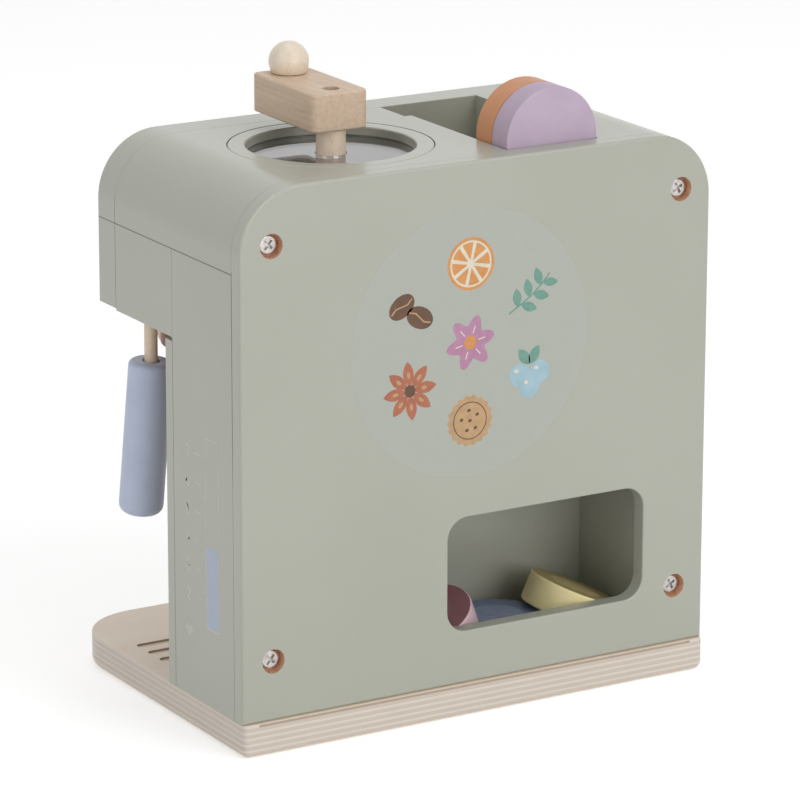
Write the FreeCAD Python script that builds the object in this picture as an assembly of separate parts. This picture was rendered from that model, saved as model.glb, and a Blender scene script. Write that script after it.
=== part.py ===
import FreeCAD, Part
import math
import os

V = FreeCAD.Vector

# Toy coffee maker of painted boards and natural beech. All sizes are millimetres.
# The origin is on the table, under the middle of the base. +Z is up. The head overhangs towards -Y,
# and the flat menu face looks towards +Y. Right is +X, seen from the front.

# Base plate of birch plywood
base_width = 230.0
base_depth = 161.7
base_overhang = 1.7
base_thickness = 14.6
base_front_corner = 30.0
base_back_corner = 2.5
base_bottom_ease = 3.5
base_top_ease = 0.6

# Painted body
body_top = 242.8
column_depth = 65.6
head_depth = 125.4
head_underside = 168.5
shoulder_radius = 28.0
shoulder_drop = 36.0
panel = 7.0
front_panel = 16.0
front_panel_lift = 1.0
top_panel = 15.0
head_floor = 9.0
board_ease = 1.2
seam_ease = 0.3
head_slit = 1.6
inner_corner = 1.5

# Drip grooves in the base
groove_count = 4
groove_pitch = 10.6
groove_width = 5.0
groove_depth = 1.0
groove_end_inset = 10.1
groove_back_inset = 15.9

# Fasteners
screw_radius = 2.0
screw_head_radius = 4.2
screw_head_height = 2.2
screw_head_sink = 2.8
screw_well_gap = 1.1
screw_clearance = 0.2
cross_arm = 5.2
cross_width = 1.2
cross_depth = 1.3
screw_side_inset = 14.9
menu_screw_low = 40.6
menu_screw_high = 218.4
menu_screw_length = 16.0
base_screw_length = 24.0

# Corner posts inside the column
post_width = 14.0
post_height = 45.4

# Window in the menu board and the pod tray behind it
window_inset = 31.4
window_width = 98.9
window_bottom = 38.0
window_top = 88.6
window_corner = 9.5
window_ease = 0.8
tray_left_margin = 5.1
tray_right_margin = 16.5
tray_wall = 5.0
tray_floor_thickness = 3.0
tray_headroom = 12.0

# Coffee pods, lying loosely in the tray
pod_radius = 20.6
pod_height = 13.4
pod_ease = 0.9
pod_gap = 0.3
blue_from_window_edge = 43.5
blue_from_back = 24.1
yellow_tilt = 23.3
yellow_heading = 172.2
yellow_aside = 1.9
pink_tilt = 24.5
pink_heading = 17.2
pink_aside = -7.8

# Storage recess in the top
recess_share = 0.28
recess_back_inset = 10.6
recess_depth = 20.7
recess_step_width = 3.4
recess_step_length = 21.4
recess_floor_thickness = 9.0
recess_floor_margin = 6.0

# Flat discs kept upright in the recess
disc_radius = 22.4
disc_thickness = 12.3
disc_ease = 0.7
disc_gap = 0.3
disc_side_gap = 0.5

# Grinder in the top
grinder_share = 0.17
grinder_back_inset = 57.5
ring_radius = 43.7
ring_opening = 36.0
ring_thickness = 3.8
ring_ease = 0.7
ring_seat_gap = 0.3
glass_thickness = 3.0
glass_hole_gap = 0.45
drum_wall = 4.0
drum_height = 28.8
drum_floor_thickness = 6.0
rotor_gap = 1.9
rotor_hub = 10.0
rotor_height = 12.0
rotor_blades = 6
rotor_blade_width = 5.0
rotor_lift = 0.3

# Crank
shaft_radius = 6.35
running_gap = 0.08
arm_lift = 7.2
arm_width = 26.7
arm_tail = 9.0
arm_reach = 45.5
arm_thickness = 16.6
arm_corner = 3.5
arm_ease = 1.0
arm_turn = -0.6
arm_socket = 6.0
arm_screw_well = 6.0
arm_screw_well_radius = 3.7
arm_screw_head_radius = 3.0
arm_screw_radius = 1.7
arm_screw_length = 18.0
shaft_tail = 9.0
collar_radius = 12.0
collar_height = 8.0
collar_gap = 0.3
collar_pin_radius = 1.5
knob_radius = 8.7
knob_centre_height = 4.8
knob_offset = 36.4
knob_gap = 0.3
knob_screw_radius = 2.0
knob_screw_head_radius = 3.5
knob_screw_head_height = 2.2
knob_screw_bite = 9.0

# Steam wand
wand_side_inset = 13.2
wand_back_inset = 103.0
wand_tilt = 5.3
wand_heading = -60.6
wand_plug_radius = 4.8
wand_flange_radius = 5.8
wand_flange_height = 3.0
wand_flange_gap = 0.3
wand_dowel_radius = 2.9
wand_show = 22.3
wand_grip_depth = 14.0
sleeve_radius = 9.7
sleeve_length = 69.1
sleeve_top_ease = 2.4
sleeve_bottom_ease = 4.2
sleeve_mouth_radius = 3.9
sleeve_mouth_depth = 5.0

# Group head and portafilter
group_side_inset = 47.0
group_radius = 29.3
group_height = 10.0
group_ease = 1.5
group_screw_spread = 26.0
filter_gap = 0.2
filter_rim_thickness = 5.8
filter_cup_radius = 23.4
filter_cup_bottom_radius = 21.6
filter_cup_height = 26.0
filter_well_gap = 0.4
filter_well_extra = 0.5
filter_spout_radius = 6.0
filter_spout_height = 4.0
handle_radius = 6.5
handle_end_radius = 5.2
handle_end_ease = 2.0
handle_neck_radius = 4.5
handle_length = 35.0
handle_bite = 8.0
handle_drop = 15.0
magnet_radius = 3.0
magnet_height = 2.2
magnet_wall = 0.6

# Places worked out from the sizes
half_width = base_width / 2
base_back_y = base_depth / 2
back_y = base_back_y - base_overhang
front_y = -base_depth / 2
menu_inner_y = back_y - panel
column_y = back_y - column_depth
column_inner_y = column_y + panel
head_y = back_y - head_depth
head_inner_y = head_y + front_panel
side_inner_x = half_width - panel
shoulder_seam = body_top - shoulder_drop
shell_inner_x = half_width - top_panel
top_underside = body_top - top_panel
head_floor_top = head_underside + head_floor
screw_x = half_width - screw_side_inset
screw_well_radius = screw_head_radius + screw_well_gap
screw_well_depth = screw_head_sink + screw_head_height

window_left = -half_width + window_inset
window_right = window_left + window_width
tray_left = window_left - tray_left_margin
tray_right = window_right + tray_right_margin
tray_top_of_floor = base_thickness + tray_floor_thickness
tray_ceiling_z = window_top + tray_headroom

grinder_x = grinder_share * base_width
grinder_y = back_y - grinder_back_inset
glass_top = body_top - ring_thickness
glass_bottom = glass_top - glass_thickness
seat_radius = ring_radius + ring_seat_gap
drum_bottom = top_underside - drum_height
drum_floor_bottom = drum_bottom - drum_floor_thickness
drum_radius = ring_opening + drum_wall
arm_bottom = body_top + arm_lift
arm_top = arm_bottom + arm_thickness
shaft_top = arm_bottom + arm_socket
shaft_bottom = drum_floor_bottom - shaft_tail
knob_angle = math.radians(arm_turn)
knob_x = grinder_x + knob_offset * math.sin(knob_angle)
knob_y = grinder_y - knob_offset * math.cos(knob_angle)
knob_bottom = arm_top + knob_gap

recess_back_y = back_y - recess_back_inset
recess_left = -recess_share * base_width
recess_right = recess_left + 2 * (disc_radius + disc_side_gap)
recess_mid_x = (recess_left + recess_right) / 2
recess_step_y = head_inner_y + recess_step_length
recess_floor_z = body_top - recess_depth
disc_centre_z = recess_floor_z + disc_gap + disc_radius

wand_x = half_width - wand_side_inset
wand_y = back_y - wand_back_inset

group_x = half_width - group_side_inset
group_y = (column_y + head_y) / 2
group_bottom = head_underside - group_height
filter_top = group_bottom - filter_gap
magnet_offset = group_radius - magnet_radius - magnet_wall
filter_well_radius = pod_radius + filter_well_gap
filter_well_depth = pod_height + filter_well_extra

blue_x = window_right - blue_from_window_edge
blue_y = menu_inner_y - blue_from_back


def box(x0, x1, y0, y1, z0, z1):
    return Part.makeBox(x1 - x0, y1 - y0, z1 - z0, V(x0, y0, z0))


def rod(radius, height, x, y, z):
    return Part.makeCylinder(radius, height, V(x, y, z))


def rod_along_y(radius, length, x, y, z):
    return Part.makeCylinder(radius, length, V(x, y, z), V(0, 1, 0))


def merged(first, *others):
    shape = first
    for other in others:
        shape = shape.fuse(other)
    return shape.removeSplitter()


def eased(shape, radius, wanted):
    """Rounds the edges for which wanted(edge) holds."""
    return shape.makeFillet(radius, [edge for edge in shape.Edges if wanted(edge)])


def level_edge(z):
    """A test for edges that lie at height z."""
    return lambda edge: all(abs(vertex.Point.z - z) < 1e-6 for vertex in edge.Vertexes)


def upright_edge_at(x, y):
    """A test for the vertical edge over the point x, y."""

    def test(edge):
        return len(edge.Vertexes) == 2 and all(
            abs(vertex.Point.x - x) < 1e-6 and abs(vertex.Point.y - y) < 1e-6
            for vertex in edge.Vertexes
        )

    return test


def edge_in_plane_x(x):
    """A test for edges that lie in the upright plane at x."""
    return lambda edge: all(abs(vertex.Point.x - x) < 1e-6 for vertex in edge.Vertexes)


def edge_along_x_at(y, z):
    """A test for the level edge that runs along X through y and z."""
    return lambda edge: edge_in_plane_y(y)(edge) and level_edge(z)(edge)


def edge_in_plane_y(y):
    """A test for edges that lie in the upright plane at y."""
    return lambda edge: all(abs(vertex.Point.y - y) < 1e-6 for vertex in edge.Vertexes)


def arched_face(y, half, bottom, top, radius):
    """An upright face at y with two rounded top corners."""
    corner = radius * (1 - math.sqrt(0.5))
    left_arc = Part.Arc(
        V(-half, y, top - radius),
        V(-half + corner, y, top - corner),
        V(-half + radius, y, top),
    )
    right_arc = Part.Arc(
        V(half - radius, y, top),
        V(half - corner, y, top - corner),
        V(half, y, top - radius),
    )
    left_foot = V(-half, y, bottom)
    right_foot = V(half, y, bottom)
    left_seam = V(-half, y, top - radius)
    right_seam = V(half, y, top - radius)
    sides = [Part.LineSegment(right_foot, left_foot)]
    if bottom < top - radius:
        sides.append(Part.LineSegment(left_foot, left_seam))
    sides.append(left_arc)
    sides.append(Part.LineSegment(V(-half + radius, y, top), V(half - radius, y, top)))
    sides.append(right_arc)
    if bottom < top - radius:
        sides.append(Part.LineSegment(right_seam, right_foot))
    return Part.Face(Part.Wire([side.toShape() for side in sides]))


def rounded_block(x0, x1, y0, y1, z0, z1, radius):
    """A block whose four edges along Y are rounded."""
    block = box(x0, x1, y0, y1, z0, z1)
    along_y = [
        edge
        for edge in block.Edges
        if abs(edge.Vertexes[0].Point.y - edge.Vertexes[1].Point.y) > 1e-6
    ]
    return block.makeFillet(radius, along_y)


def pan_screw(radius, head_radius, head_height, length):
    """A pan-head screw with a cross recess, its seat at the origin and its head towards +Z."""
    shank = Part.makeCylinder(radius, length - radius, V(0, 0, radius - length))
    tip = Part.makeCone(0.2, radius, radius, V(0, 0, -length))
    head = Part.makeCylinder(head_radius, head_height)
    head = eased(head, head_height * 0.4, level_edge(head_height))
    reach = min(cross_arm, head_radius * 1.2) / 2
    half_slot = cross_width / 2
    slot_a = box(-reach, reach, -half_slot, half_slot, head_height - cross_depth, head_height)
    slot_b = box(-half_slot, half_slot, -reach, reach, head_height - cross_depth, head_height)
    return merged(shank, tip, head).cut(slot_a.fuse(slot_b))


def save(name, shape):
    if shape.isNull() or not shape.isValid():
        raise ValueError(name + " is not a valid solid")
    shape.exportStep("parts/" + name + ".step")


def base_screw_places():
    """Under each post, as x and y."""
    rear_y = menu_inner_y - post_width / 2
    near_y = column_inner_y + post_width / 2
    return [(side * post_centre_x(), y) for side in (-1, 1) for y in (rear_y, near_y)]


def post_centre_x():
    return side_inner_x - post_width / 2


def menu_screw_places():
    """In the menu board, as x and z."""
    return [(side * screw_x, z) for side in (-1, 1) for z in (menu_screw_low, menu_screw_high)]


def base_plate():
    plate = box(-half_width, half_width, front_y, base_back_y, 0, base_thickness)
    for x in (-half_width, half_width):
        plate = eased(plate, base_front_corner, upright_edge_at(x, front_y))
        plate = eased(plate, base_back_corner, upright_edge_at(x, base_back_y))
    plate = eased(plate, base_bottom_ease, level_edge(0))
    plate = eased(plate, base_top_ease, level_edge(base_thickness))
    groove_radius = groove_width / 2
    groove_reach = half_width - groove_end_inset - groove_radius
    for number in range(groove_count):
        y = column_y - groove_back_inset - number * groove_pitch
        floor = base_thickness - groove_depth
        groove = box(-groove_reach, groove_reach, y - groove_radius, y + groove_radius, floor, base_thickness)
        for x in (-groove_reach, groove_reach):
            groove = groove.fuse(rod(groove_radius, groove_depth, x, y, floor))
        plate = plate.cut(groove)
    for x, y in base_screw_places():
        plate = plate.cut(rod(screw_well_radius, screw_well_depth, x, y, 0))
        plate = plate.cut(rod(screw_radius + screw_clearance, base_thickness, x, y, 0))
    return plate


def base_screws():
    screws = []
    for x, y in base_screw_places():
        screw = pan_screw(screw_radius, screw_head_radius, screw_head_height, base_screw_length)
        screw.rotate(V(0, 0, 0), V(1, 0, 0), 180)
        screw.translate(V(x, y, screw_well_depth))
        screws.append(screw)
    return Part.makeCompound(screws)


def post(side, y0):
    x0 = side_inner_x - post_width if side > 0 else -side_inner_x
    shape = box(x0, x0 + post_width, y0, y0 + post_width, base_thickness, base_thickness + post_height)
    bite = screw_well_depth + base_screw_length - base_thickness
    centre_x = x0 + post_width / 2
    return shape.cut(rod(screw_radius, bite, centre_x, y0 + post_width / 2, base_thickness))


def rear_posts():
    posts = []
    for side in (-1, 1):
        shape = post(side, menu_inner_y - post_width)
        bite = menu_screw_length + screw_well_depth - panel
        pilot = rod_along_y(screw_radius, bite, side * screw_x, menu_inner_y - bite, menu_screw_low)
        posts.append(shape.cut(pilot))
    return Part.makeCompound(posts)


def front_posts():
    return Part.makeCompound([post(side, column_inner_y) for side in (-1, 1)])


def menu_board():
    board = arched_face(menu_inner_y, half_width, base_thickness, body_top, shoulder_radius)
    board = board.extrude(V(0, panel, 0))
    board = eased(board, board_ease, edge_in_plane_y(back_y))
    board = eased(board, seam_ease, edge_in_plane_y(menu_inner_y))
    window = rounded_block(
        window_left, window_right, menu_inner_y - 1, back_y + 1, window_bottom, window_top, window_corner
    )
    board = board.cut(window)
    rim = [
        edge
        for edge in board.Edges
        if edge_in_plane_y(back_y)(edge)
        and window_left - 1 < edge.CenterOfMass.x < window_right + 1
        and window_bottom - 1 < edge.CenterOfMass.z < window_top + 1
    ]
    board = board.makeFillet(window_ease, rim)
    for x, z in menu_screw_places():
        board = board.cut(rod_along_y(screw_well_radius, screw_well_depth, x, back_y - screw_well_depth, z))
        board = board.cut(rod_along_y(screw_radius + screw_clearance, panel, x, menu_inner_y, z))
    return board


def menu_screws():
    screws = []
    for x, z in menu_screw_places():
        screw = pan_screw(screw_radius, screw_head_radius, screw_head_height, menu_screw_length)
        screw.rotate(V(0, 0, 0), V(0, 0, 1), x + z)
        screw.rotate(V(0, 0, 0), V(1, 0, 0), -90)
        screw.translate(V(x, back_y - screw_well_depth, z))
        screws.append(screw)
    return Part.makeCompound(screws)


def side_board(side):
    """The gamma-shaped cheek: column and head in one board."""
    x = side_inner_x if side > 0 else -half_width
    outline = [
        V(x, menu_inner_y, base_thickness),
        V(x, menu_inner_y, shoulder_seam),
        V(x, head_inner_y, shoulder_seam),
        V(x, head_inner_y, head_underside),
        V(x, column_inner_y, head_underside),
        V(x, column_inner_y, base_thickness),
    ]
    board = Part.Face(Part.makePolygon(outline + outline[:1])).extrude(V(panel, 0, 0))
    board = eased(board, inner_corner, edge_along_x_at(column_inner_y, head_underside))
    return eased(board, seam_ease, edge_in_plane_x(side * half_width))


def column_board():
    top = head_underside - head_slit
    board = box(-half_width, half_width, column_y, column_inner_y, base_thickness, top)
    for x in (-half_width, half_width):
        board = eased(board, board_ease, upright_edge_at(x, column_y))
        board = eased(board, seam_ease, upright_edge_at(x, column_inner_y))
    return board


def head_floor_board():
    board = box(-side_inner_x, side_inner_x, head_inner_y, menu_inner_y, head_underside, head_floor_top)
    board = board.cut(rod(wand_plug_radius + running_gap, head_floor, wand_x, wand_y, head_underside))
    for side in (-1, 1):
        x = group_x + side * group_screw_spread / 2
        board = board.cut(rod(screw_radius + screw_clearance, head_floor, x, group_y, head_underside))
    return board


def head_front_board():
    bottom = head_underside + front_panel_lift
    board = arched_face(head_y, half_width, bottom, body_top, shoulder_radius)
    board = board.extrude(V(0, front_panel, 0))
    board = eased(board, seam_ease, edge_in_plane_y(head_inner_y))
    return eased(board, board_ease, edge_in_plane_y(head_y))


def top_shell():
    length = menu_inner_y - head_inner_y
    outer = arched_face(head_inner_y, half_width, shoulder_seam, body_top, shoulder_radius)
    inner_radius = shoulder_radius - top_panel
    inner = arched_face(head_inner_y, shell_inner_x, shoulder_seam, top_underside, inner_radius)
    shell = outer.extrude(V(0, length, 0))
    for y in (head_inner_y, menu_inner_y):
        shell = eased(shell, seam_ease, edge_in_plane_y(y))
    shell = shell.cut(inner.extrude(V(0, length, 0)))
    shell = shell.cut(rod(seat_radius, body_top - glass_bottom, grinder_x, grinder_y, glass_bottom))
    shell = shell.cut(rod(ring_opening, top_panel, grinder_x, grinder_y, top_underside))
    shell = shell.cut(recess_space(top_underside))
    for x, z in menu_screw_places():
        if z > shoulder_seam:
            bite = menu_screw_length + screw_well_depth - panel
            shell = shell.cut(rod_along_y(screw_radius, bite, x, menu_inner_y - bite, z))
    return shell


def recess_space(bottom):
    """The recess from the given height up to the top, a step wider at its front end."""
    step_right = recess_right + recess_step_width
    space = box(recess_left, recess_right, head_inner_y, recess_back_y, bottom, body_top)
    step = box(recess_left, step_right, head_inner_y, recess_step_y, bottom, body_top)
    return merged(space, step)


def recess_floor():
    """A thick board under the shell, milled down to the recess's floor."""
    board = box(
        recess_left - recess_floor_margin,
        recess_right + recess_floor_margin,
        head_inner_y,
        menu_inner_y,
        recess_floor_z - recess_floor_thickness,
        top_underside,
    )
    return board.cut(recess_space(recess_floor_z))


def tray_floor():
    return box(
        tray_left - tray_wall,
        tray_right + tray_wall,
        column_inner_y,
        menu_inner_y,
        base_thickness,
        tray_top_of_floor,
    )


def tray_sides():
    walls = []
    for x in (tray_left - tray_wall, tray_right):
        wall = box(x, x + tray_wall, column_inner_y, menu_inner_y, tray_top_of_floor, tray_ceiling_z)
        walls.append(wall)
    return Part.makeCompound(walls)


def tray_ceiling():
    return box(
        tray_left - tray_wall,
        tray_right + tray_wall,
        column_inner_y,
        menu_inner_y,
        tray_ceiling_z,
        tray_ceiling_z + tray_wall,
    )


def grinder_ring():
    ring = rod(ring_radius, ring_thickness, grinder_x, grinder_y, glass_top)
    ring = ring.cut(rod(ring_opening, ring_thickness, grinder_x, grinder_y, glass_top))
    return eased(ring, ring_ease, level_edge(body_top))


def grinder_window():
    disc = rod(ring_radius, glass_thickness, grinder_x, grinder_y, glass_bottom)
    return disc.cut(rod(shaft_radius + glass_hole_gap, glass_thickness, grinder_x, grinder_y, glass_bottom))


def hopper_drum():
    drum = rod(drum_radius, drum_height, grinder_x, grinder_y, drum_bottom)
    return drum.cut(rod(ring_opening, drum_height, grinder_x, grinder_y, drum_bottom))


def hopper_floor():
    floor = rod(drum_radius, drum_floor_thickness, grinder_x, grinder_y, drum_floor_bottom)
    bore = rod(shaft_radius + running_gap, drum_floor_thickness, grinder_x, grinder_y, drum_floor_bottom)
    return floor.cut(bore)


def crank_shaft():
    shaft = rod(shaft_radius, shaft_top - shaft_bottom, grinder_x, grinder_y, shaft_bottom)
    pilot_depth = arm_screw_length - (arm_top - arm_screw_well - shaft_top)
    shaft = shaft.cut(rod(arm_screw_radius, pilot_depth, grinder_x, grinder_y, shaft_top - pilot_depth))
    return shaft.cut(collar_pin())


def grinder_rotor():
    z = drum_bottom + rotor_lift
    rotor = rod(rotor_hub, rotor_height, grinder_x, grinder_y, z)
    blade_reach = ring_opening - rotor_gap
    for number in range(rotor_blades):
        blade = box(0, blade_reach, -rotor_blade_width / 2, rotor_blade_width / 2, 0, rotor_height)
        blade.rotate(V(0, 0, 0), V(0, 0, 1), number * 360.0 / rotor_blades)
        blade.translate(V(grinder_x, grinder_y, z))
        rotor = rotor.fuse(blade)
    rotor = rotor.removeSplitter()
    return rotor.cut(rod(shaft_radius, rotor_height, grinder_x, grinder_y, z))


def shaft_collar():
    z = drum_floor_bottom - collar_gap - collar_height
    collar = rod(collar_radius, collar_height, grinder_x, grinder_y, z)
    collar = collar.cut(rod(shaft_radius, collar_height, grinder_x, grinder_y, z))
    return collar.cut(collar_pin())


def collar_pin():
    z = drum_floor_bottom - collar_gap - collar_height / 2
    return rod_along_y(collar_pin_radius, 2 * collar_radius, grinder_x, grinder_y - collar_radius, z)


def crank_arm():
    half = arm_width / 2
    arm = box(-half, half, -arm_reach, arm_tail, 0, arm_thickness)
    corners = [(x, y) for x in (-half, half) for y in (-arm_reach, arm_tail)]
    for x, y in corners:
        arm = eased(arm, arm_corner, upright_edge_at(x, y))
    arm = eased(arm, arm_ease, lambda edge: level_edge(0)(edge) or level_edge(arm_thickness)(edge))
    arm = arm.cut(rod(shaft_radius, arm_socket, 0, 0, 0))
    arm = arm.cut(rod(arm_screw_radius, arm_thickness, 0, 0, 0))
    well_bottom = arm_thickness - arm_screw_well
    arm = arm.cut(rod(arm_screw_well_radius, arm_screw_well, 0, 0, well_bottom))
    knob_well = knob_screw_head_height + knob_gap
    arm = arm.cut(rod(knob_screw_head_radius + knob_gap, knob_well, 0, -knob_offset, 0))
    arm = arm.cut(rod(knob_screw_radius + running_gap, arm_thickness, 0, -knob_offset, 0))
    arm.rotate(V(0, 0, 0), V(0, 0, 1), arm_turn)
    arm.translate(V(grinder_x, grinder_y, arm_bottom))
    return arm


def crank_screw():
    screw = pan_screw(arm_screw_radius, arm_screw_head_radius, screw_head_height, arm_screw_length)
    screw.translate(V(grinder_x, grinder_y, arm_top - arm_screw_well))
    return screw


def crank_knob():
    ball = Part.makeSphere(knob_radius, V(0, 0, knob_centre_height))
    below = box(-knob_radius, knob_radius, -knob_radius, knob_radius, -2 * knob_radius, 0)
    knob = ball.cut(below)
    knob = knob.cut(rod(knob_screw_radius, knob_screw_bite, 0, 0, 0))
    knob.translate(V(knob_x, knob_y, knob_bottom))
    return knob


def knob_screw():
    """Fixed in the knob, and turning with it in the arm."""
    seat = arm_bottom + knob_screw_head_height
    length = knob_bottom + knob_screw_bite - seat
    screw = pan_screw(knob_screw_radius, knob_screw_head_radius, knob_screw_head_height, length)
    screw.rotate(V(0, 0, 0), V(1, 0, 0), 180)
    screw.translate(V(knob_x, knob_y, seat))
    return screw


def wand_dowel():
    bottom = head_underside - wand_show - wand_grip_depth
    return rod(wand_dowel_radius, head_floor_top - bottom, wand_x, wand_y, bottom)


def wand_plug():
    plug = rod(wand_plug_radius, head_floor + wand_flange_gap, wand_x, wand_y, head_underside)
    flange = rod(wand_flange_radius, wand_flange_height, wand_x, wand_y, head_floor_top + wand_flange_gap)
    return merged(plug, flange).cut(wand_dowel())


def wand_sleeve():
    """Made with its mouth at the origin, then leant outwards on the upright dowel."""
    sleeve = rod(sleeve_radius, sleeve_length, 0, 0, -sleeve_length)
    sleeve = eased(sleeve, sleeve_bottom_ease, level_edge(-sleeve_length))
    sleeve = eased(sleeve, sleeve_top_ease, level_edge(0))
    sleeve = sleeve.cut(rod(sleeve_mouth_radius, sleeve_mouth_depth, 0, 0, -sleeve_mouth_depth))
    sleeve.rotate(V(0, 0, 0), V(0, 1, 0), -wand_tilt)
    sleeve.rotate(V(0, 0, 0), V(0, 0, 1), wand_heading)
    sleeve.translate(V(wand_x, wand_y, head_underside - wand_show))
    return sleeve.cut(wand_dowel())


def magnet_pair(z):
    return Part.makeCompound(
        [rod(magnet_radius, magnet_height, group_x + side * magnet_offset, group_y, z) for side in (-1, 1)]
    )


def group_magnets():
    return magnet_pair(group_bottom)


def filter_magnets():
    return magnet_pair(filter_top - magnet_height)


def group_head():
    head = rod(group_radius, group_height, group_x, group_y, group_bottom)
    head = eased(head, group_ease, level_edge(group_bottom))
    bite = menu_screw_length - head_floor
    for side in (-1, 1):
        x = group_x + side * group_screw_spread / 2
        head = head.cut(rod(screw_radius, bite, x, group_y, head_underside - bite))
    return head.cut(group_magnets())


def group_screws():
    screws = []
    for side in (-1, 1):
        screw = pan_screw(screw_radius, screw_head_radius, screw_head_height, menu_screw_length)
        screw.translate(V(group_x + side * group_screw_spread / 2, group_y, head_floor_top))
        screws.append(screw)
    return Part.makeCompound(screws)


def handle_height():
    return filter_top - handle_drop


def portafilter_cup():
    rim_bottom = filter_top - filter_rim_thickness
    rim = rod(group_radius, filter_rim_thickness, group_x, group_y, rim_bottom)
    cup_bottom = filter_top - filter_cup_height
    bowl = Part.makeCone(
        filter_cup_bottom_radius, filter_cup_radius, rim_bottom - cup_bottom, V(group_x, group_y, cup_bottom)
    )
    spout = rod(filter_spout_radius, filter_spout_height, group_x, group_y, cup_bottom - filter_spout_height)
    cup = merged(rim, bowl, spout)
    well_floor = filter_top - filter_well_depth
    cup = cup.cut(rod(filter_well_radius, filter_well_depth, group_x, group_y, well_floor))
    cup = cup.cut(magnet_pair(filter_top - magnet_height))
    return cup.cut(portafilter_handle())


def portafilter_handle():
    """A turned handle along -Y, thin where it enters the cup and full at its end."""
    swell_start = -handle_length / 4
    swell_middle = -handle_length * 2 / 3
    corners = [V(0, -handle_length, 0), V(0, handle_bite, 0), V(handle_neck_radius, handle_bite, 0)]
    neck_end = V(handle_neck_radius, swell_start, 0)
    end_rim = V(handle_end_radius, -handle_length, 0)
    points = corners + [neck_end]
    edges = [Part.LineSegment(first, second) for first, second in zip(points, points[1:])]
    edges.append(Part.Arc(neck_end, V(handle_radius, swell_middle, 0), end_rim))
    edges.append(Part.LineSegment(end_rim, corners[0]))
    face = Part.Face(Part.Wire([edge.toShape() for edge in edges]))
    handle = face.revolve(V(0, 0, 0), V(0, 1, 0), 360)
    handle = eased(handle, handle_end_ease, edge_in_plane_y(-handle_length))
    handle.translate(V(group_x, group_y - filter_cup_bottom_radius, handle_height()))
    return handle


def puck(radius, height, ease):
    """A disc lying at the origin with both rims rounded."""
    disc = Part.makeCylinder(radius, height)
    return disc.makeFillet(ease, [edge for edge in disc.Edges if edge.Curve.TypeId == "Part::GeomCircle"])


def stored_disc(number):
    """A disc standing in the recess, number 0 next to the menu board."""
    disc = puck(disc_radius, disc_thickness, disc_ease)
    disc.rotate(V(0, 0, 0), V(1, 0, 0), -90)
    back = recess_back_y - disc_gap - number * (disc_thickness + disc_gap)
    disc.translate(V(recess_mid_x, back - disc_thickness, disc_centre_z))
    return disc


def flat_pod():
    pod = puck(pod_radius, pod_height, pod_ease)
    pod.translate(V(blue_x, blue_y, tray_top_of_floor))
    return pod


def leaning_pod(tilt, heading, aside):
    """A pod with its low side on the tray floor towards the heading, its base propped on the flat pod."""
    tilt_angle = math.radians(tilt)
    heading_angle = math.radians(heading)
    reach = pod_radius * (1 - math.cos(tilt_angle)) + (pod_height + pod_gap) / math.tan(tilt_angle)
    ahead = V(math.cos(heading_angle), math.sin(heading_angle), 0)
    across = V(-ahead.y, ahead.x, 0)
    centre = V(blue_x, blue_y, 0) + ahead * reach + across * aside
    centre.z = tray_top_of_floor + pod_radius * math.sin(tilt_angle)
    pod = puck(pod_radius, pod_height, pod_ease)
    pod.rotate(V(0, 0, 0), V(0, 1, 0), tilt)
    pod.rotate(V(0, 0, 0), V(0, 0, 1), heading)
    pod.translate(centre)
    return pod


os.makedirs("parts", exist_ok=True)

save("base_plate", base_plate())
save("base_screws", base_screws())
save("rear_posts", rear_posts())
save("front_posts", front_posts())
save("menu_board", menu_board())
save("menu_screws", menu_screws())
save("side_board_right", side_board(1))
save("side_board_left", side_board(-1))
save("column_board", column_board())
save("head_floor_board", head_floor_board())
save("head_front_board", head_front_board())
save("top_shell", top_shell())
save("recess_floor", recess_floor())
save("tray_floor", tray_floor())
save("tray_sides", tray_sides())
save("tray_ceiling", tray_ceiling())
save("grinder_ring", grinder_ring())
save("grinder_window", grinder_window())
save("hopper_drum", hopper_drum())
save("hopper_floor", hopper_floor())
save("crank_shaft", crank_shaft())
save("grinder_rotor", grinder_rotor())
save("shaft_collar", shaft_collar())
save("collar_pin", collar_pin())
save("crank_arm", crank_arm())
save("crank_screw", crank_screw())
save("crank_knob", crank_knob())
save("knob_screw", knob_screw())
save("wand_plug", wand_plug())
save("wand_dowel", wand_dowel())
save("wand_sleeve", wand_sleeve())
save("group_head", group_head())
save("group_screws", group_screws())
save("group_magnets", group_magnets())
save("portafilter_cup", portafilter_cup())
save("portafilter_handle", portafilter_handle())
save("filter_magnets", filter_magnets())
save("pod_blue", flat_pod())
save("pod_yellow", leaning_pod(yellow_tilt, yellow_heading, yellow_aside))
save("pod_pink", leaning_pod(pink_tilt, pink_heading, pink_aside))
save("disc_lilac", stored_disc(0))
save("disc_orange", stored_disc(1))
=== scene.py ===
import math

import bmesh
import bpy
from mathutils import Matrix, Vector


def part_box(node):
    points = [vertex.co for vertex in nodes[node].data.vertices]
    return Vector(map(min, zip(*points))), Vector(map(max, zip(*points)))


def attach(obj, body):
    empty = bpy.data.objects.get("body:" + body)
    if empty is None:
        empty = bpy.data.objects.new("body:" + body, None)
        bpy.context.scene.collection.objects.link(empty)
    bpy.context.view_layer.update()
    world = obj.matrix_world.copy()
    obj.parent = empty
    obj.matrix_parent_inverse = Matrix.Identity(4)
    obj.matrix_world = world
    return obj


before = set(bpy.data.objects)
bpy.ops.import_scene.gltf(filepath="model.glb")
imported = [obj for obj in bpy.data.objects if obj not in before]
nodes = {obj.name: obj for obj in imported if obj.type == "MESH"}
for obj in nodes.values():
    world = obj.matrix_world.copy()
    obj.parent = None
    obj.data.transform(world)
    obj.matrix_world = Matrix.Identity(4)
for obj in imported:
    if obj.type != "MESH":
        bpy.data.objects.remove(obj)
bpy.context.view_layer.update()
MM = 0.001

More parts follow.
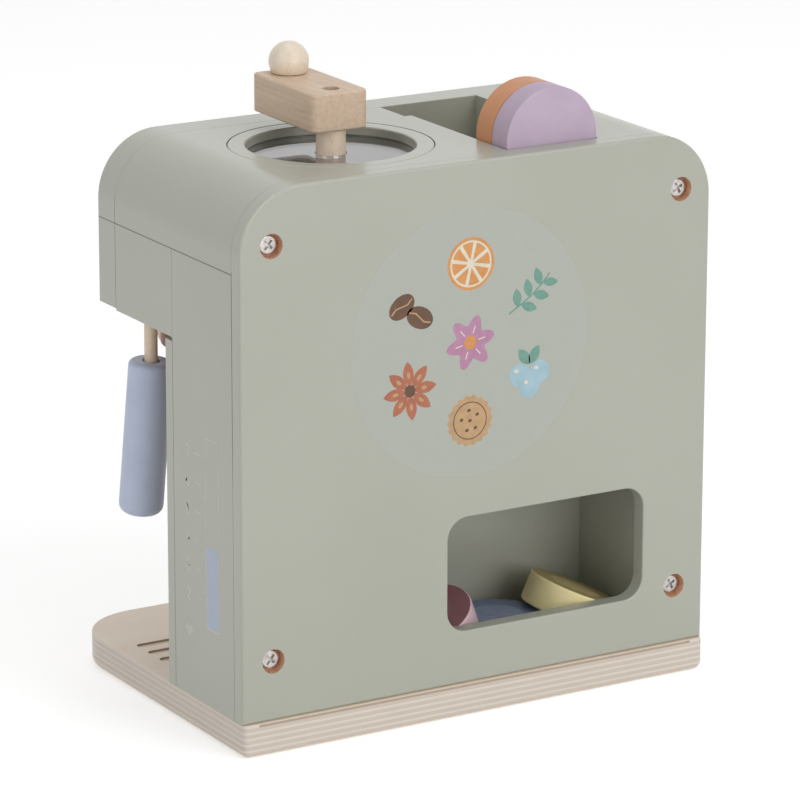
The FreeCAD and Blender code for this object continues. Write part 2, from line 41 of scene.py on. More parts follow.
# The base is a plate of birch plywood, sanded and sealed with a thin clear coat. The edge shows its plies,
# every other one end grain, and the front corners are sawn to a wide round. Four drip grooves are milled
# into its top.
ply_thickness = 1.33 * MM
ply_line_share = 0.12
veneer_light = (0.900, 0.775, 0.645, 1)
veneer_dark = (0.840, 0.700, 0.555, 1)
ply_long_grain = (0.740, 0.665, 0.590, 1)
ply_end_grain = (0.620, 0.540, 0.460, 1)
glue_line = (0.460, 0.375, 0.300, 1)
groove_brown = (0.360, 0.250, 0.170, 1)
groove_reach = 108 * MM
groove_top_gap = 0.1 * MM
groove_floor_depth = 1.2 * MM


class Shade:
    """A socket in a material's node tree. Arithmetic on it adds Math nodes to the tree."""

    def __init__(self, tree, socket):
        self.tree = tree
        self.socket = socket

    def node(self, kind, settings=None, inputs=None, output=0):
        """Adds a node of any kind, with its settings first and then its sockets' values or links."""
        added = self.tree.nodes.new(kind)
        for name, setting in (settings or {}).items():
            if name == "stops":
                set_stops(added.color_ramp, setting)
            else:
                setattr(added, name, setting)
        for key, value in (inputs or {}).items():
            if isinstance(value, Shade):
                self.tree.links.new(value.socket, added.inputs[key])
            else:
                added.inputs[key].default_value = value
        return Shade(self.tree, added.outputs[output])

    def math(self, operation, *operands):
        return self.node("ShaderNodeMath", {"operation": operation}, dict(enumerate(operands)))

    def vector(self, operation, *operands, output=0):
        return self.node("ShaderNodeVectorMath", {"operation": operation}, dict(enumerate(operands)), output)

    def __add__(self, other):
        return self.math("ADD", self, other)

    def __radd__(self, other):
        return self.math("ADD", other, self)

    def __sub__(self, other):
        return self.math("SUBTRACT", self, other)

    def __rsub__(self, other):
        return self.math("SUBTRACT", other, self)

    def __mul__(self, other):
        return self.math("MULTIPLY", self, other)

    def __rmul__(self, other):
        return self.math("MULTIPLY", other, self)

    def __truediv__(self, other):
        return self.math("DIVIDE", self, other)

    def __abs__(self):
        return self.math("ABSOLUTE", self)

    def __gt__(self, other):
        return self.math("GREATER_THAN", self, other)

    def __lt__(self, other):
        return self.math("LESS_THAN", self, other)

    def axis(self, number):
        """One component of a vector: 0, 1 or 2 for x, y or z."""
        return self.node("ShaderNodeSeparateXYZ", None, {0: self}, number)

    def stretched(self, x, y, z):
        """The vector with each component multiplied, to lengthen a texture along the others."""
        return self.vector("MULTIPLY", self, (x, y, z))

    def noise(self, scale, detail=2.0, roughness=0.5):
        inputs = {"Vector": self, "Scale": scale, "Detail": detail, "Roughness": roughness}
        return self.node("ShaderNodeTexNoise", None, inputs)

    def between(self, low, high):
        """Rises smoothly from 0 at low to 1 at high."""
        inputs = {"Value": self, "From Min": low, "From Max": high}
        return self.node("ShaderNodeMapRange", {"interpolation_type": "SMOOTHSTEP"}, inputs)

    def blend(self, first, second):
        """The first colour where this mask is 0 and the second where it is 1."""
        return self.node("ShaderNodeMix", {"data_type": "RGBA"}, {0: self, 6: first, 7: second}, 2)

    def distance_to_line(self, point, direction):
        """How far a position is from the line through the point."""
        offset = self.vector("SUBTRACT", self, point)
        cross = self.vector("CROSS_PRODUCT", offset, direction)
        return self.vector("LENGTH", cross, output=1)


def set_stops(ramp, stops):
    while len(ramp.elements) < len(stops):
        ramp.elements.new(0.5)
    for element, (place, colour) in zip(ramp.elements, stops):
        element.position = place
        element.color = colour


class Finish:
    """A material with one Principled shader, and the position and normal that its colours start from."""

    def __init__(self, name, **uniform):
        self.material = bpy.data.materials.new(name)
        self.material.use_nodes = True
        self.tree = self.material.node_tree
        self.shader = self.tree.nodes["Principled BSDF"]
        for socket, value in uniform.items():
            self.shader.inputs[socket.replace("_", " ")].default_value = value
        coordinates = self.tree.nodes.new("ShaderNodeTexCoord")
        self.position = Shade(self.tree, coordinates.outputs["Object"])
        self.normal = Shade(self.tree, coordinates.outputs["Normal"])

    def set(self, socket, value):
        self.tree.links.new(value.socket, self.shader.inputs[socket])

    def bump(self, height, strength, distance):
        inputs = {"Height": height, "Strength": strength, "Distance": distance}
        self.set("Normal", height.node("ShaderNodeBump", None, inputs))

    def on(self, *names):
        for name in names:
            nodes[name].data.materials.clear()
            nodes[name].data.materials.append(self.material)


ply = Finish("birch_plywood", IOR=1.5, Coat_Weight=0.4, Coat_Roughness=0.3)
height = ply.position.axis(2)
layer = height / ply_thickness
layer_number = layer.math("FLOOR", layer)
end_grain = layer_number.math("MODULO", layer_number, 2.0)
in_layer = layer.math("FRACT", layer)
along_edge = ply.position.stretched(1, 1, 26)
edge_streak = along_edge.noise(90, 4, 0.6)
layer_tone = layer_number.node("ShaderNodeTexWhiteNoise", {"noise_dimensions": "1D"}, {"W": layer_number})
edge_mask = (end_grain * 0.75 + (edge_streak - 0.5) * 1.1 + (layer_tone - 0.5) * 0.35).between(0.0, 1.0)
edge_colour = edge_mask.blend(ply_long_grain, ply_end_grain)
near_glue = (in_layer < ply_line_share) * 0.4
edge_colour = near_glue.blend(edge_colour, glue_line)
grain = ply.position.stretched(4, 60, 4).noise(14, 5, 0.6)
cathedral = ply.position.stretched(1, 7, 1).noise(11, 2, 0.5)
veneer_mask = (grain * 0.7 + cathedral * 0.6 - 0.15).between(0.15, 0.85)
veneer_colour = veneer_mask.blend(veneer_light, veneer_dark)
on_edge = abs(ply.normal.axis(2)) < 0.7
surface_colour = on_edge.blend(veneer_colour, edge_colour)
top_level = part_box("base_plate")[1].z
milled = (height < top_level - groove_top_gap) * (height > top_level - groove_floor_depth)
groove_wall = (abs(ply.position.axis(0)) < groove_reach) * milled * on_edge
ply.set("Base Color", (groove_wall * 0.8).blend(surface_colour, groove_brown))
ply.set("Roughness", 0.5 + edge_streak * 0.15)
ply.bump(grain + edge_streak, 0.12, 0.3 * MM)
ply.on("base_plate")

# The body is boards of dense fibreboard, sprayed sage green in a satin paint. They are screwed and glued
# together, and the bare board shows reddish brown inside the four screw wells of the menu board.
sage = (0.440, 0.448, 0.380, 1)
sage_deep = (0.418, 0.427, 0.360, 1)
# seam_shadow is painted shade, laid along the joints of the boards where their gaps fall dark.
seam_shadow = (0.130, 0.130, 0.105, 1)
seam_half = 0.28 * MM
seam_skin = 0.32 * MM
seam_fade_low = 108 * MM
seam_fade_high = 138 * MM
fibreboard = (0.850, 0.500, 0.320, 1)
fibreboard_dark = (0.600, 0.330, 0.200, 1)
well_x = 100.1 * MM
well_heights = (40.6 * MM, 218.4 * MM)
well_radius = 5.4 * MM
paint_film = 0.12 * MM


def sage_finish(name):
    finish = Finish(name, IOR=1.5, Coat_Weight=0.4, Coat_Roughness=0.22)
    cloud = finish.position.noise(9, 3, 0.5)
    finish.colour = cloud.between(0.3, 0.7).blend(sage, sage_deep)
    peel = finish.position.noise(900, 2, 0.5)
    brushed = finish.position.noise(140, 3, 0.6)
    finish.set("Roughness", 0.27 + brushed * 0.10)
    finish.bump(peel * 0.5 + brushed, 0.05, 0.15 * MM)
    return finish


def painted_seam_shade(finish):
    """A mask of painted shade along the joints between the boards, on the outer cheeks of the body."""
    shoulder_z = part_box("side_board_right")[1].z
    menu_seam_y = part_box("menu_board")[0].y
    front_seam_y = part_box("head_front_board")[1].y
    column_seam_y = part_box("column_board")[1].y
    outside = abs(finish.position.axis(0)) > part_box("side_board_right")[1].x - seam_skin
    seam_y = finish.position.axis(1)
    seam_z = finish.position.axis(2)
    level = (abs(seam_z - shoulder_z) < seam_half) * (seam_y < menu_seam_y)
    rear = (abs(seam_y - menu_seam_y) < seam_half) * (seam_z < shoulder_z + 1 * MM)
    # The rear joint's painted shade grows darker towards the top.
    rear = rear * (0.25 + 0.75 * seam_z.between(seam_fade_low, seam_fade_high))
    front = (abs(seam_y - front_seam_y) < seam_half) * 0.45
    column = (abs(seam_y - column_seam_y) < seam_half) * (seam_z < shoulder_z) * 0.5
    return (level + rear + front + column) * outside


paint = sage_finish("sage_paint")
# The joints between the boards are painted dark here, as the shade in their gaps.
paint.set("Base Color", (painted_seam_shade(paint) * 0.9).blend(paint.colour, seam_shadow))
paint.on(
    "side_board_right",
    "side_board_left",
    "column_board",
    "head_floor_board",
    "head_front_board",
    "top_shell",
    "recess_floor",
    "tray_floor",
    "tray_sides",
    "tray_ceiling",
    "grinder_ring",
    "hopper_drum",
)

menu_paint = sage_finish("sage_paint_menu")
menu_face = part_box("menu_board")[1].y
across = abs(menu_paint.position.axis(0)) - well_x
depth = menu_paint.position.axis(1)
bare = None
for well_height in well_heights:
    up = menu_paint.position.axis(2) - well_height
    squared = across * across + up * up
    reach = squared.math("SQRT", squared)
    inside = (reach < well_radius) * (depth < menu_face - paint_film)
    bare = inside if bare is None else bare + inside
fibre = menu_paint.position.noise(700, 4, 0.7).between(0.3, 0.7)
# The joints on the menu board are painted dark too, as the shade in their gaps.
seam_shaded = (painted_seam_shade(menu_paint) * 0.9).blend(menu_paint.colour, seam_shadow)
menu_paint.set("Base Color", bare.blend(seam_shaded, fibre.blend(fibreboard, fibreboard_dark)))
menu_paint.on("menu_board")

# The corner posts inside the column are offcuts of pine, glued to the boards and screwed from below.
pine_light = (0.60, 0.42, 0.25, 1)
pine_dark = (0.45, 0.28, 0.15, 1)
pine = Finish("pine", Roughness=0.6)
pine_grain = pine.position.stretched(40, 40, 3).noise(16, 4, 0.6)
pine.set("Base Color", pine_grain.between(0.3, 0.7).blend(pine_light, pine_dark))
pine.bump(pine_grain, 0.15, 0.2 * MM)
pine.on("rear_posts", "front_posts")

# The screws are zinc-plated pan heads with a cross recess, sunk into their wells. The nickel-plated
# magnets of the group head and the portafilter, and the pin of the shaft collar, share their grey.
zinc = (0.62, 0.59, 0.57, 1)
zinc_dull = (0.44, 0.42, 0.41, 1)
plating = Finish("zinc_plated_steel", Metallic=0.85)
wear = plating.position.noise(600, 4, 0.7)
plating.set("Base Color", wear.between(0.35, 0.7).blend(zinc, zinc_dull))
plating.set("Roughness", 0.3 + wear * 0.25)
plating.bump(plating.position.noise(1500, 2, 0.5), 0.1, 0.05 * MM)
plating.on("menu_screws", "base_screws", "group_screws", "crank_screw", "knob_screw", "collar_pin")
plating.on("group_magnets", "filter_magnets")

# The grinder's disc is clear polished acrylic under the painted ring. It shows the sky of the room more
# than the empty hopper below it.
acrylic = Finish("clear_acrylic", IOR=1.49, Transmission_Weight=1.0, Base_Color=(0.74, 0.73, 0.76, 1))
smear = acrylic.position.noise(60, 3, 0.6)
acrylic.set("Roughness", smear * 0.04)
acrylic.on("grinder_window")

# The crank is beech under a thin clear coat: a dowel as its shaft, a block with rounded corners as its arm,
# and a turned ball as its knob. Beech has short dark flecks along its grain and a mottled end grain.
beech_light = (0.710, 0.545, 0.400, 1)
beech_dark = (0.610, 0.445, 0.310, 1)
beech_fleck = (0.420, 0.270, 0.170, 1)
# The dowels' beech is painted paler than the arm's, as painted light against the shade falling on them.
dowel_brightened = (0.920, 0.760, 0.600, 1)
dowel_brightened_deep = (0.860, 0.700, 0.540, 1)


def beech_finish(name, grain_axis, light, dark, roughness=0.5):
    """Beech whose grain runs along x, y or z, given as 0, 1 or 2."""
    finish = Finish(name, IOR=1.5, Coat_Weight=0.3, Coat_Roughness=0.3)
    lengthwise = [26, 26, 26]
    lengthwise[grain_axis] = 1.6
    fleck_shape = [60, 60, 60]
    fleck_shape[grain_axis] = 9
    streak = finish.position.stretched(*lengthwise).noise(17, 4, 0.6)
    fleck = finish.position.stretched(*fleck_shape).noise(30, 1, 0.4)
    mottle = finish.position.noise(420, 3, 0.7)
    end = abs(finish.normal.axis(grain_axis)) > 0.8
    tone = (end * (mottle - streak) + streak).between(0.25, 0.75)
    colour = tone.blend(light, dark)
    flecked = fleck.between(0.62, 0.74) * 0.3 * (1 - end)
    finish.set("Base Color", flecked.blend(colour, beech_fleck))
    finish.set("Roughness", roughness + tone * 0.12)
    finish.bump(streak + mottle * 0.4, 0.10, 0.2 * MM)
    return finish


beech_finish("beech_arm", 1, beech_light, beech_dark).on("crank_arm", "portafilter_handle")
# The shaft and the wand dowel take that paler beech, painted lighter to offset their shade.
beech_finish("beech_dowel", 2, dowel_brightened, dowel_brightened_deep).on("crank_shaft", "wand_dowel", "wand_plug")
ball_light = (0.850, 0.740, 0.600, 1)
ball_dark = (0.810, 0.695, 0.550, 1)
beech_finish("beech_ball", 2, ball_light, ball_dark, 0.28).on("crank_knob")
beech_finish("beech_turned", 2, beech_light, beech_dark).on(
    "grinder_rotor", "shaft_collar", "hopper_floor", "group_head"
)


# The steam wand's sleeve, the portafilter's cup and the loose discs and pods are turned wood, each sprayed
# in its own satin colour. The pods carry a paler printed round on each face; faces are painted darker as
# shade.
def spray_finish(name, light, deep, roughness=0.4):
    finish = Finish(name, IOR=1.45)
    cloud = finish.position.noise(60, 3, 0.6)
    finish.colour = cloud.between(0.3, 0.7).blend(light, deep)
    peel = finish.position.noise(1100, 2, 0.5)
    turned = finish.position.noise(260, 3, 0.6)
    finish.set("Roughness", roughness + turned * 0.1)
    finish.bump(peel * 0.5 + turned, 0.06, 0.12 * MM)
    finish.set("Base Color", finish.colour)
    return finish


sleeve_blue = ((0.570, 0.630, 0.800, 1), (0.535, 0.590, 0.750, 1))
# The cup's terracotta is the discs' orange painted darker, as the shade under the head.
shaded_terracotta = ((0.330, 0.105, 0.042, 1), (0.280, 0.085, 0.034, 1))
lilac = ((0.550, 0.438, 0.560, 1), (0.515, 0.402, 0.525, 1))
orange = ((0.680, 0.315, 0.155, 1), (0.635, 0.288, 0.138, 1))
spray_finish("wand_blue", *sleeve_blue).on("wand_sleeve")
spray_finish("shaded_terracotta", *shaded_terracotta).on("portafilter_cup")
spray_finish("lilac", *lilac).on("disc_lilac")
spray_finish("orange", *orange).on("disc_orange")

pod_print_radius = 11.8 * MM


def pod_axis(tilt, heading):
    tilt = math.radians(tilt)
    heading = math.radians(heading)
    return Vector((math.sin(tilt) * math.cos(heading), math.sin(tilt) * math.sin(heading), math.cos(tilt)))


def middle(node):
    low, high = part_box(node)
    return (low + high) / 2


def pod_finish(node, rim, face, printed, tilt=0, heading=0):
    """A pod with a light rim, faces painted darker than the rim as shade, and a printed round on each face.
    """
    finish = spray_finish(node, rim, tuple(0.93 * part for part in rim[:3]) + (1,))
    away = finish.position.distance_to_line(middle(node), pod_axis(tilt, heading))
    along = finish.normal.vector("DOT_PRODUCT", finish.normal, pod_axis(tilt, heading), output=1)
    on_face = abs(along) > 0.9
    worn = finish.position.noise(230, 4, 0.7).between(0.35, 0.6)
    disc = (away < pod_print_radius) * (0.55 + 0.45 * worn)
    # The faces and their printed rounds are painted darker than the rim, as shade.
    shaded_face_colour = disc.blend(face, printed)
    finish.set("Base Color", on_face.blend(finish.colour, shaded_face_colour))
    finish.on(node)


# Face and print colours here are painted shade, darker than each pod's rim.
pod_finish("pod_blue", (0.285, 0.340, 0.500, 1), (0.180, 0.225, 0.355, 1), (0.265, 0.320, 0.470, 1))
pod_finish(
    "pod_yellow", (0.950, 0.830, 0.440, 1), (0.420, 0.335, 0.130, 1), (0.620, 0.520, 0.270, 1), 23.3, 172.2
)
pod_finish(
    "pod_pink", (0.780, 0.560, 0.620, 1), (0.350, 0.155, 0.170, 1), (0.340, 0.180, 0.200, 1), 24.5, 17.2
)

# The prints are screen-printed inks on the paint. On the right side they are a water gauge with numbers
# from 2 to 7, its ticks, its blue fill and a small heart.
ink_film = 0.02 * MM
ink_root = 0.05 * MM
gauge_right_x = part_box("side_board_right")[1].x
gauge_near_y = 48.5 * MM
gauge_far_y = 59.7 * MM
gauge_low_z = 49.0 * MM
gauge_high_z = 132.0 * MM
gauge_fill_z = 84.8 * MM
gauge_corner = 1.8 * MM
gauge_line = 0.75 * MM
white_ink = ((0.600, 0.620, 0.570, 1), (0.520, 0.545, 0.490, 1))
water_ink = ((0.480, 0.540, 0.660, 1), (0.460, 0.515, 0.635, 1))


class Print:
    """Ink laid flat on one painted face, as thin closed prisms in one mesh."""

    def __init__(self, name, finish, slot, to_space):
        self.name = name
        self.finish = finish
        self.slot = slot
        self.to_space = to_space
        self.mesh = bmesh.new()

    def row(self, outline, lift):
        return [self.mesh.verts.new(self.to_space(u, v, lift)) for u, v in outline]

    def wall(self, under, over):
        for number in range(len(under)):
            following = (number + 1) % len(under)
            self.mesh.faces.new([under[number], under[following], over[following], over[number]])

    def patch(self, outline, level=0):
        """A filled shape. Inks that overlap lie at higher levels."""
        under = self.row(outline, -ink_root)
        over = self.row(outline, ink_film * (1 + level))
        self.mesh.faces.new(over)
        self.mesh.faces.new(list(reversed(under)))
        self.wall(under, over)

    def stroke(self, points, width, level=0):
        """A line of even width along the points."""
        left, right = edges_of(points, width, False)
        self.patch(left + list(reversed(right)), level)

    def loop(self, points, width, level=0):
        """A line of even width round a closed outline."""
        left, right = edges_of(points, width, True)
        lifts = (-ink_root, ink_film * (1 + level))
        rows = [self.row(edge, lift) for edge in (left, right) for lift in lifts]
        self.wall(rows[1], rows[3])
        self.wall(rows[2], rows[0])
        self.wall(rows[0], rows[1])
        self.wall(rows[3], rows[2])

    def done(self):
        bmesh.ops.recalc_face_normals(self.mesh, faces=self.mesh.faces)
        data = bpy.data.meshes.new(self.name)
        self.mesh.to_mesh(data)
        self.mesh.free()
        data.materials.append(self.finish.material)
        piece = bpy.data.objects.new(self.name, data)
        bpy.context.scene.collection.objects.link(piece)
        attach(piece, "machine")


def edges_of(points, width, closed):
    """The two edges of a line of the given width, mitred at its corners."""
    count = len(points)
    left = []
    right = []
    for number in range(count):
        before = points[number - 1] if closed or number > 0 else points[number]
        after = points[(number + 1) % count] if closed or number < count - 1 else points[number]
        here = Vector(points[number])
        coming = (here - Vector(before)).normalized()
        going = (Vector(after) - here).normalized()
        if coming.length == 0:
            coming = going
        if going.length == 0:
            going = coming
        side = Vector((-(coming.y + going.y), coming.x + going.x)).normalized()
        normal = Vector((-going.y, going.x))
        reach = width / 2 / max(side.dot(normal), 0.6)
        left.append(tuple(here + side * reach))
        right.append(tuple(here - side * reach))
    return left, right


def arc(u, v, radius, start, end, steps):
    """Points on an arc about u, v, from one angle to another in degrees."""
    angles = [math.radians(start + (end - start) * step / steps) for step in range(steps + 1)]
    return [(u + radius * math.cos(angle), v + radius * math.sin(angle)) for angle in angles]


def round_box(low_u, high_u, low_v, high_v, radius, steps=6):
    corners = (
        (high_u - radius, high_v - radius, 0),
        (low_u + radius, high_v - radius, 90),
        (low_u + radius, low_v + radius, 180),
        (high_u - radius, low_v + radius, 270),
    )
    return [point for u, v, start in corners for point in arc(u, v, radius, start, start + 90, steps)]


def on_right_side(u, v, lift):
    return (gauge_right_x + lift, u, v)


def ink_finish(name, light, deep):
    """Ink with the faint unevenness of a screen print."""
    finish = Finish(name, Roughness=0.5)
    cloud = finish.position.noise(210, 4, 0.7)
    finish.set("Base Color", cloud.between(0.3, 0.7).blend(light, deep))
    finish.bump(finish.position.noise(900, 2, 0.5), 0.05, 0.05 * MM)
    return finish


number_y = 32.9 * MM
number_width = 2.9 * MM
number_height = 5.0 * MM
number_line = 0.95 * MM
first_number_z = 59.9 * MM
number_pitch = 12.55 * MM
tick_near_y = 38.6 * MM
tick_far_y = 43.8 * MM
tick_rise = 0.3 * MM
tick_line = 0.6 * MM


def digit_strokes(digit):
    """The open strokes and the closed loops of a digit, in a box one wide and one tall about its middle."""
    if digit == 2:
        bowl = [(u * 1.6, v) for u, v in arc(0, 0.24, 0.26, 160, -30, 8)]
        return [bowl + [(-0.42, -0.5), (0.45, -0.5)]], []
    if digit == 3:
        upper = [(u * 1.5, v) for u, v in arc(0, 0.25, 0.25, 150, -80, 8)]
        lower = [(u * 1.6, v) for u, v in arc(0, -0.25, 0.25, 80, -150, 8)]
        return [upper, lower], []
    if digit == 4:
        return [[(0.1, 0.5), (-0.42, -0.14), (0.45, -0.14)], [(0.22, 0.2), (0.22, -0.5)]], []
    if digit == 5:
        bowl = [(u * 1.5, v) for u, v in arc(0, -0.2, 0.3, 110, -150, 9)]
        return [[(0.38, 0.5), (-0.3, 0.5), (-0.33, 0.02)] + bowl], []
    if digit == 6:
        hook = [(0.2, 0.5), (-0.1, 0.28), (-0.32, 0.0), (-0.4, -0.22)]
        return [hook], [[(u * 1.55, v) for u, v in arc(0, -0.23, 0.26, 180, -160, 14)]]
    return [[(-0.42, 0.5), (0.42, 0.5), (-0.05, -0.5)]], []


gauge_ink = ink_finish("gauge_white_ink", *white_ink)
gauge_outline = Print("gauge_print", gauge_ink, "sage_paint", on_right_side)
frame_line = round_box(gauge_near_y, gauge_far_y, gauge_low_z, gauge_high_z, gauge_corner)
gauge_outline.loop(frame_line, gauge_line, 1)
for step, digit in enumerate(range(2, 8)):
    level_z = first_number_z + step * number_pitch
    strokes, loops = digit_strokes(digit)
    for paths, draw in ((strokes, gauge_outline.stroke), (loops, gauge_outline.loop)):
        for path in paths:
            draw([(number_y + u * number_width, level_z + v * number_height) for u, v in path], number_line)
    tick_z = level_z + tick_rise
    gauge_outline.stroke([(tick_near_y, tick_z), (tick_far_y, tick_z)], tick_line)
heart_y = 33.0 * MM
heart_z = 43.9 * MM
heart_size = 0.2 * MM
heart_steps = 28
heart = []
for step in range(heart_steps):
    turn = 2 * math.pi * step / heart_steps
    heart_u = 16 * math.sin(turn) ** 3
    heart_v = 13 * math.cos(turn) - 5 * math.cos(2 * turn) - 2 * math.cos(3 * turn) - math.cos(4 * turn)
    heart.append((heart_y + heart_u * heart_size, heart_z + heart_v * heart_size))
gauge_outline.patch(heart)
gauge_outline.done()

gauge_water = Print("gauge_water", ink_finish("water_ink", *water_ink), "wand_blue", on_right_side)
water_low = round_box(gauge_near_y, gauge_far_y, gauge_low_z, gauge_fill_z + gauge_corner, gauge_corner)
water_level = [(gauge_far_y, gauge_fill_z), (gauge_near_y, gauge_fill_z)]
gauge_water.patch([(u, v) for u, v in water_low if v < gauge_fill_z] + water_level)
gauge_water.done()

# The menu board carries a printed panel: a round of slightly paler green with seven small treats on it, each
# in a few flat inks. A flower sits in the middle and the others go round it.
panel_x = 5.0 * MM
panel_z = 165.0 * MM
panel_radius = 58.0 * MM
motif_spread = 34.0 * MM
motif_size = 1.12 * MM
panel_ink = ((0.448, 0.467, 0.416, 1), (0.438, 0.457, 0.406, 1))
art_inks = {
    "orange": ((0.720, 0.330, 0.110, 1), (0.640, 0.270, 0.080, 1)),
    "cream": ((0.780, 0.720, 0.580, 1), (0.720, 0.660, 0.520, 1)),
    "mauve": ((0.520, 0.260, 0.400, 1), (0.440, 0.210, 0.340, 1)),
    "sky": ((0.400, 0.570, 0.640, 1), (0.320, 0.500, 0.580, 1)),
    "leaf": ((0.180, 0.360, 0.290, 1), (0.140, 0.300, 0.240, 1)),
    "brick": ((0.480, 0.165, 0.090, 1), (0.400, 0.130, 0.070, 1)),
    "tan": ((0.560, 0.360, 0.190, 1), (0.480, 0.300, 0.150, 1)),
    "brown": ((0.150, 0.075, 0.040, 1), (0.110, 0.055, 0.030, 1)),
}
menu_art = {}


def on_menu(u, v, lift):
    return (-u, menu_face + lift, v)


def place(points, u, v, turn=0.0, size=motif_size):
    """Points in motif units, turned in degrees and moved to u, v on the menu board."""
    angle = math.radians(turn)
    cosine = math.cos(angle)
    sine = math.sin(angle)
    return [(u + size * (a * cosine - b * sine), v + size * (a * sine + b * cosine)) for a, b in points]


def lobed(radius, depth, lobes, steps=72):
    """A round outline with a wavy edge."""
    turns = [2 * math.pi * step / steps for step in range(steps)]
    reaches = [radius * (1 + depth * math.cos(lobes * turn)) for turn in turns]
    return [(reach * math.cos(turn), reach * math.sin(turn)) for reach, turn in zip(reaches, turns)]


def oval(half_length, half_width, a=0.0, b=0.0):
    return [(a + half_length * x, b + half_width * y) for x, y in lobed(1, 0, 1, 28)]


def leaf_shape(length, width, a, b, turn):
    """A pointed leaf with its foot at a, b."""
    steps = 9
    along = [step / steps for step in range(steps + 1)]
    upper = [(length * t, width / 2 * math.sin(math.pi * t) ** 0.8) for t in along]
    lower = [(x, -y) for x, y in reversed(upper[1:-1])]
    return place(upper + lower, a, b, turn, 1.0)


def ink(colour):
    if colour not in menu_art:
        finish = ink_finish("menu_ink_" + colour, *art_inks[colour])
        menu_art[colour] = Print("menu_print_" + colour, finish, "sage_paint", on_menu)
    return menu_art[colour]


def flower(u, v):
    ink("mauve").patch(place(lobed(8.6, 0.24, 6), u, v, 12), 1)
    for petal in range(6):
        crease = [(3.6, 0), (6.6, 0)]
        ink("cream").stroke(place(crease, u, v, 12 + 60 * petal), 0.5 * MM, 2)
    ink("orange").patch(place(lobed(2.7, 0.06, 9), u, v), 2)


def citrus(u, v):
    ink("orange").patch(place(oval(10.2, 10.2), u, v), 1)
    ink("cream").patch(place(oval(9.0, 9.0), u, v), 2)
    for segment in range(8):
        outer = arc(0, 0, 8.2, -17, 17, 6)
        ink("orange").patch(place([(1.5, 0)] + outer, u, v, 45 * segment + 10), 3)


def sprig(u, v):
    stem = [(-9.5, -6.5), (-4.5, -3.6), (0.5, -0.4), (5.0, 3.4), (8.6, 7.4)]
    ink("leaf").stroke(place(stem, u, v), 0.7 * MM, 1)
    leaves = ((-5.5, -4.3, 95), (-4.0, -3.4, -20), (-0.4, -1.0, 100), (1.2, 0.1, -14), (4.6, 3.0, 108))
    for a, b, turn in leaves:
        ink("leaf").patch(place(leaf_shape(7.4, 3.8, a, b, turn), u, v), 2)
    ink("leaf").patch(place(leaf_shape(6.6, 3.4, 5.6, 4.0, -4), u, v), 2)


def biscuit(u, v):
    ink("tan").patch(place(lobed(9.6, 0.045, 18, 108), u, v), 1)
    ink("brown").loop(place(oval(7.2, 7.2), u, v), 0.45 * MM, 2)
    for a, b in ((0, 0), (3.6, 1.2), (-3.4, 1.6), (1.5, -3.6), (-2.2, -3.2), (0.6, 4.0)):
        ink("brown").patch(place(oval(0.8, 0.65, a, b), u, v, 15), 2)


def berries(u, v):
    ink("leaf").patch(place(leaf_shape(8.0, 4.4, 0, 3.2, 60), u, v), 1)
    ink("leaf").patch(place(leaf_shape(8.0, 4.4, 0, 3.2, 128), u, v), 1)
    for a, b, level in ((-4.4, -0.6, 2), (4.4, -0.2, 3), (0.0, -5.4, 4)):
        ink("sky").patch(place(oval(4.5, 4.5, a, b), u, v), level)
        ink("cream").patch(place(oval(1.0, 0.7, a - 1.5, b + 1.7), u, v), level + 1)


def spice_star(u, v):
    for ray in range(8):
        ink("brick").patch(place(leaf_shape(10.0, 4.6, 1.6, 0, 0), u, v, 45 * ray + 6), 1)
        ink("tan").patch(place(oval(1.3, 0.7, 6.2, 0), u, v, 45 * ray + 6), 2)
    ink("brown").patch(place(oval(2.4, 2.4), u, v), 2)


def beans(u, v):
    for a, b, turn in ((-3.6, 2.4, 35), (4.2, -2.6, -25)):
        ink("brown").patch(place(place(oval(6.0, 4.2), a, b, turn, 1.0), u, v), 1)
        split = place([(-5.2, 0.2), (-2.4, 0.9), (0.0, 0.0), (2.4, -0.9), (5.2, -0.2)], a, b, turn, 1.0)
        ink("tan").stroke(place(split, u, v), 0.6 * MM, 2)


panel_print = Print("menu_panel", ink_finish("menu_panel_ink", *panel_ink), "sage_paint", on_menu)
panel_print.patch(place(lobed(1, 0, 1, 120), -panel_x, panel_z, 0, panel_radius))
panel_print.done()
flower(-panel_x, panel_z)
for number, motif in enumerate((citrus, sprig, berries, biscuit, spice_star, beans)):
    turn = math.radians(90 - 60 * number)
    motif(-panel_x + motif_spread * math.cos(turn), panel_z + motif_spread * math.sin(turn))
for art in menu_art.values():
    art.done()

# The floor is a plain pale sheet under soft studio light, and the camera looks at the menu face from the
# machine's rear right, a little from above.
floor_reach = 6.0
floor_corners = ((-1, -1), (1, -1), (1, 1), (-1, 1))
floor_drop = 0.05 * MM
floor_pale = (0.930, 0.930, 0.930, 1)
floor_lift = (0.400, 0.400, 0.400, 1)
floor_mesh = bpy.data.meshes.new("floor")
corners = [(across * floor_reach, along * floor_reach, -floor_drop) for across, along in floor_corners]
floor_mesh.from_pydata(corners, [], [(0, 1, 2, 3)])
floor = bpy.data.objects.new("floor", floor_mesh)
bpy.context.scene.collection.objects.link(floor)
floor_finish = Finish("pale_floor", Roughness=0.8, Base_Color=floor_pale, Emission_Strength=1.0)
floor_mesh.materials.append(floor_finish.material)


def seen_directly(tree):
    """1 for rays that reach the camera straight, off a gloss or through the clear disc."""
    rays = tree.nodes.new("ShaderNodeLightPath")
    names = ("Is Camera Ray", "Is Glossy Ray", "Is Transmission Ray")
    straight, glossy, through = [Shade(tree, rays.outputs[name]) for name in names]
    either = straight + glossy + through
    return either.math("MINIMUM", either, 1.0)


floor_glow = seen_directly(floor_finish.tree).blend((0, 0, 0, 1), floor_lift)
floor_finish.set("Emission Color", floor_glow)

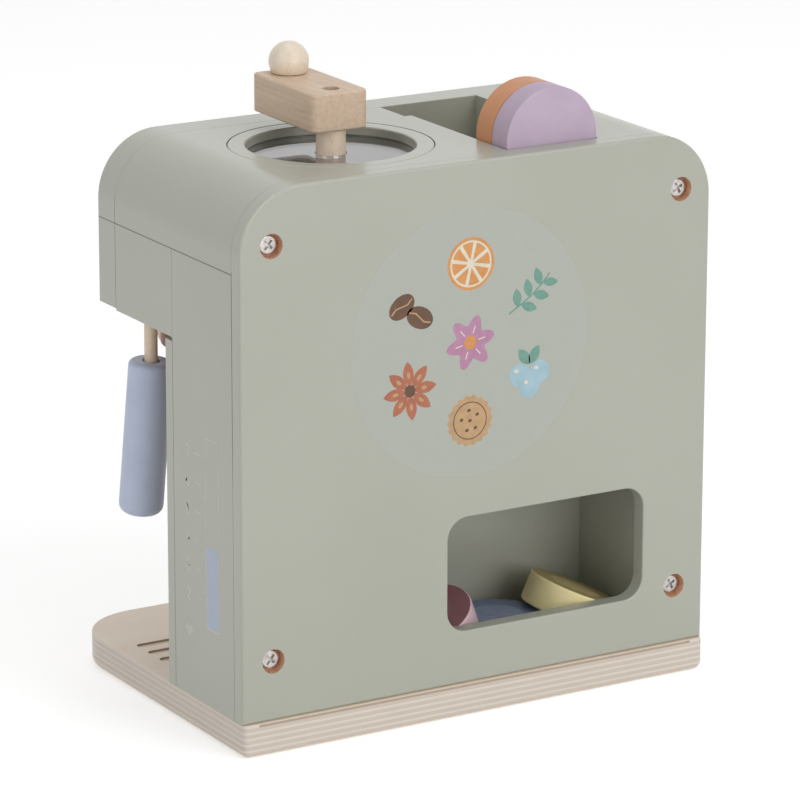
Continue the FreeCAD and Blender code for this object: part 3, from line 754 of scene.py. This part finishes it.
world = bpy.data.worlds.new("studio")
bpy.context.scene.world = world
world.use_nodes = True
background = world.node_tree.nodes["Background"]
background.inputs["Color"].default_value = (1.0, 1.0, 1.0, 1)
sky_light = 0.40
strength = seen_directly(world.node_tree) * (1 - sky_light) + sky_light
world.node_tree.links.new(strength.socket, background.inputs["Strength"])
lamp_aim = Vector((0, 0, 0.12))


def softbox(name, stand, size, power):
    """A square lamp that stands in the studio and is aimed at the machine."""
    lamp = bpy.data.lights.new(name, "AREA")
    lamp.shape = "SQUARE"
    lamp.size = size
    lamp.energy = power
    holder = bpy.data.objects.new(name, lamp)
    holder.location = stand
    holder.rotation_euler = (lamp_aim - Vector(stand)).to_track_quat("-Z", "Y").to_euler()
    bpy.context.scene.collection.objects.link(holder)


softbox("key", (-0.9, 2.0, 2.1), 1.6, 15)
softbox("front", (-0.3, 2.6, 0.5), 1.6, 20)
softbox("fill", (2.4, 0.6, 1.2), 1.4, 9)
softbox("overhead", (-0.2, -0.3, 2.6), 1.6, 11)

camera_place = Vector((1.0004, 1.69215, 0.6805))
camera_azimuth = math.radians(149.21)
camera_elevation = math.radians(15.92)
camera_roll = math.radians(0.13)
focal_pixels = 4692
picture_pixels = 800
camera_data = bpy.data.cameras.new("camera")
camera_data.sensor_width = 36
camera_data.lens = camera_data.sensor_width * focal_pixels / picture_pixels
camera_data.clip_start = 0.05
camera_data.clip_end = 30
backward = Vector(
    (
        math.sin(camera_azimuth) * math.cos(camera_elevation),
        -math.cos(camera_azimuth) * math.cos(camera_elevation),
        math.sin(camera_elevation),
    )
)
level_right = Vector((math.cos(camera_azimuth), math.sin(camera_azimuth), 0))
level_up = backward.cross(level_right)
rightward = level_right * math.cos(camera_roll) + level_up * math.sin(camera_roll)
upward = level_up * math.cos(camera_roll) - level_right * math.sin(camera_roll)
camera = bpy.data.objects.new("camera", camera_data)
turned = Matrix((rightward, upward, backward)).transposed().to_4x4()
camera.matrix_world = Matrix.Translation(camera_place) @ turned
bpy.context.scene.collection.objects.link(camera)
bpy.context.scene.camera = camera
bpy.context.scene.view_settings.view_transform = "Standard"
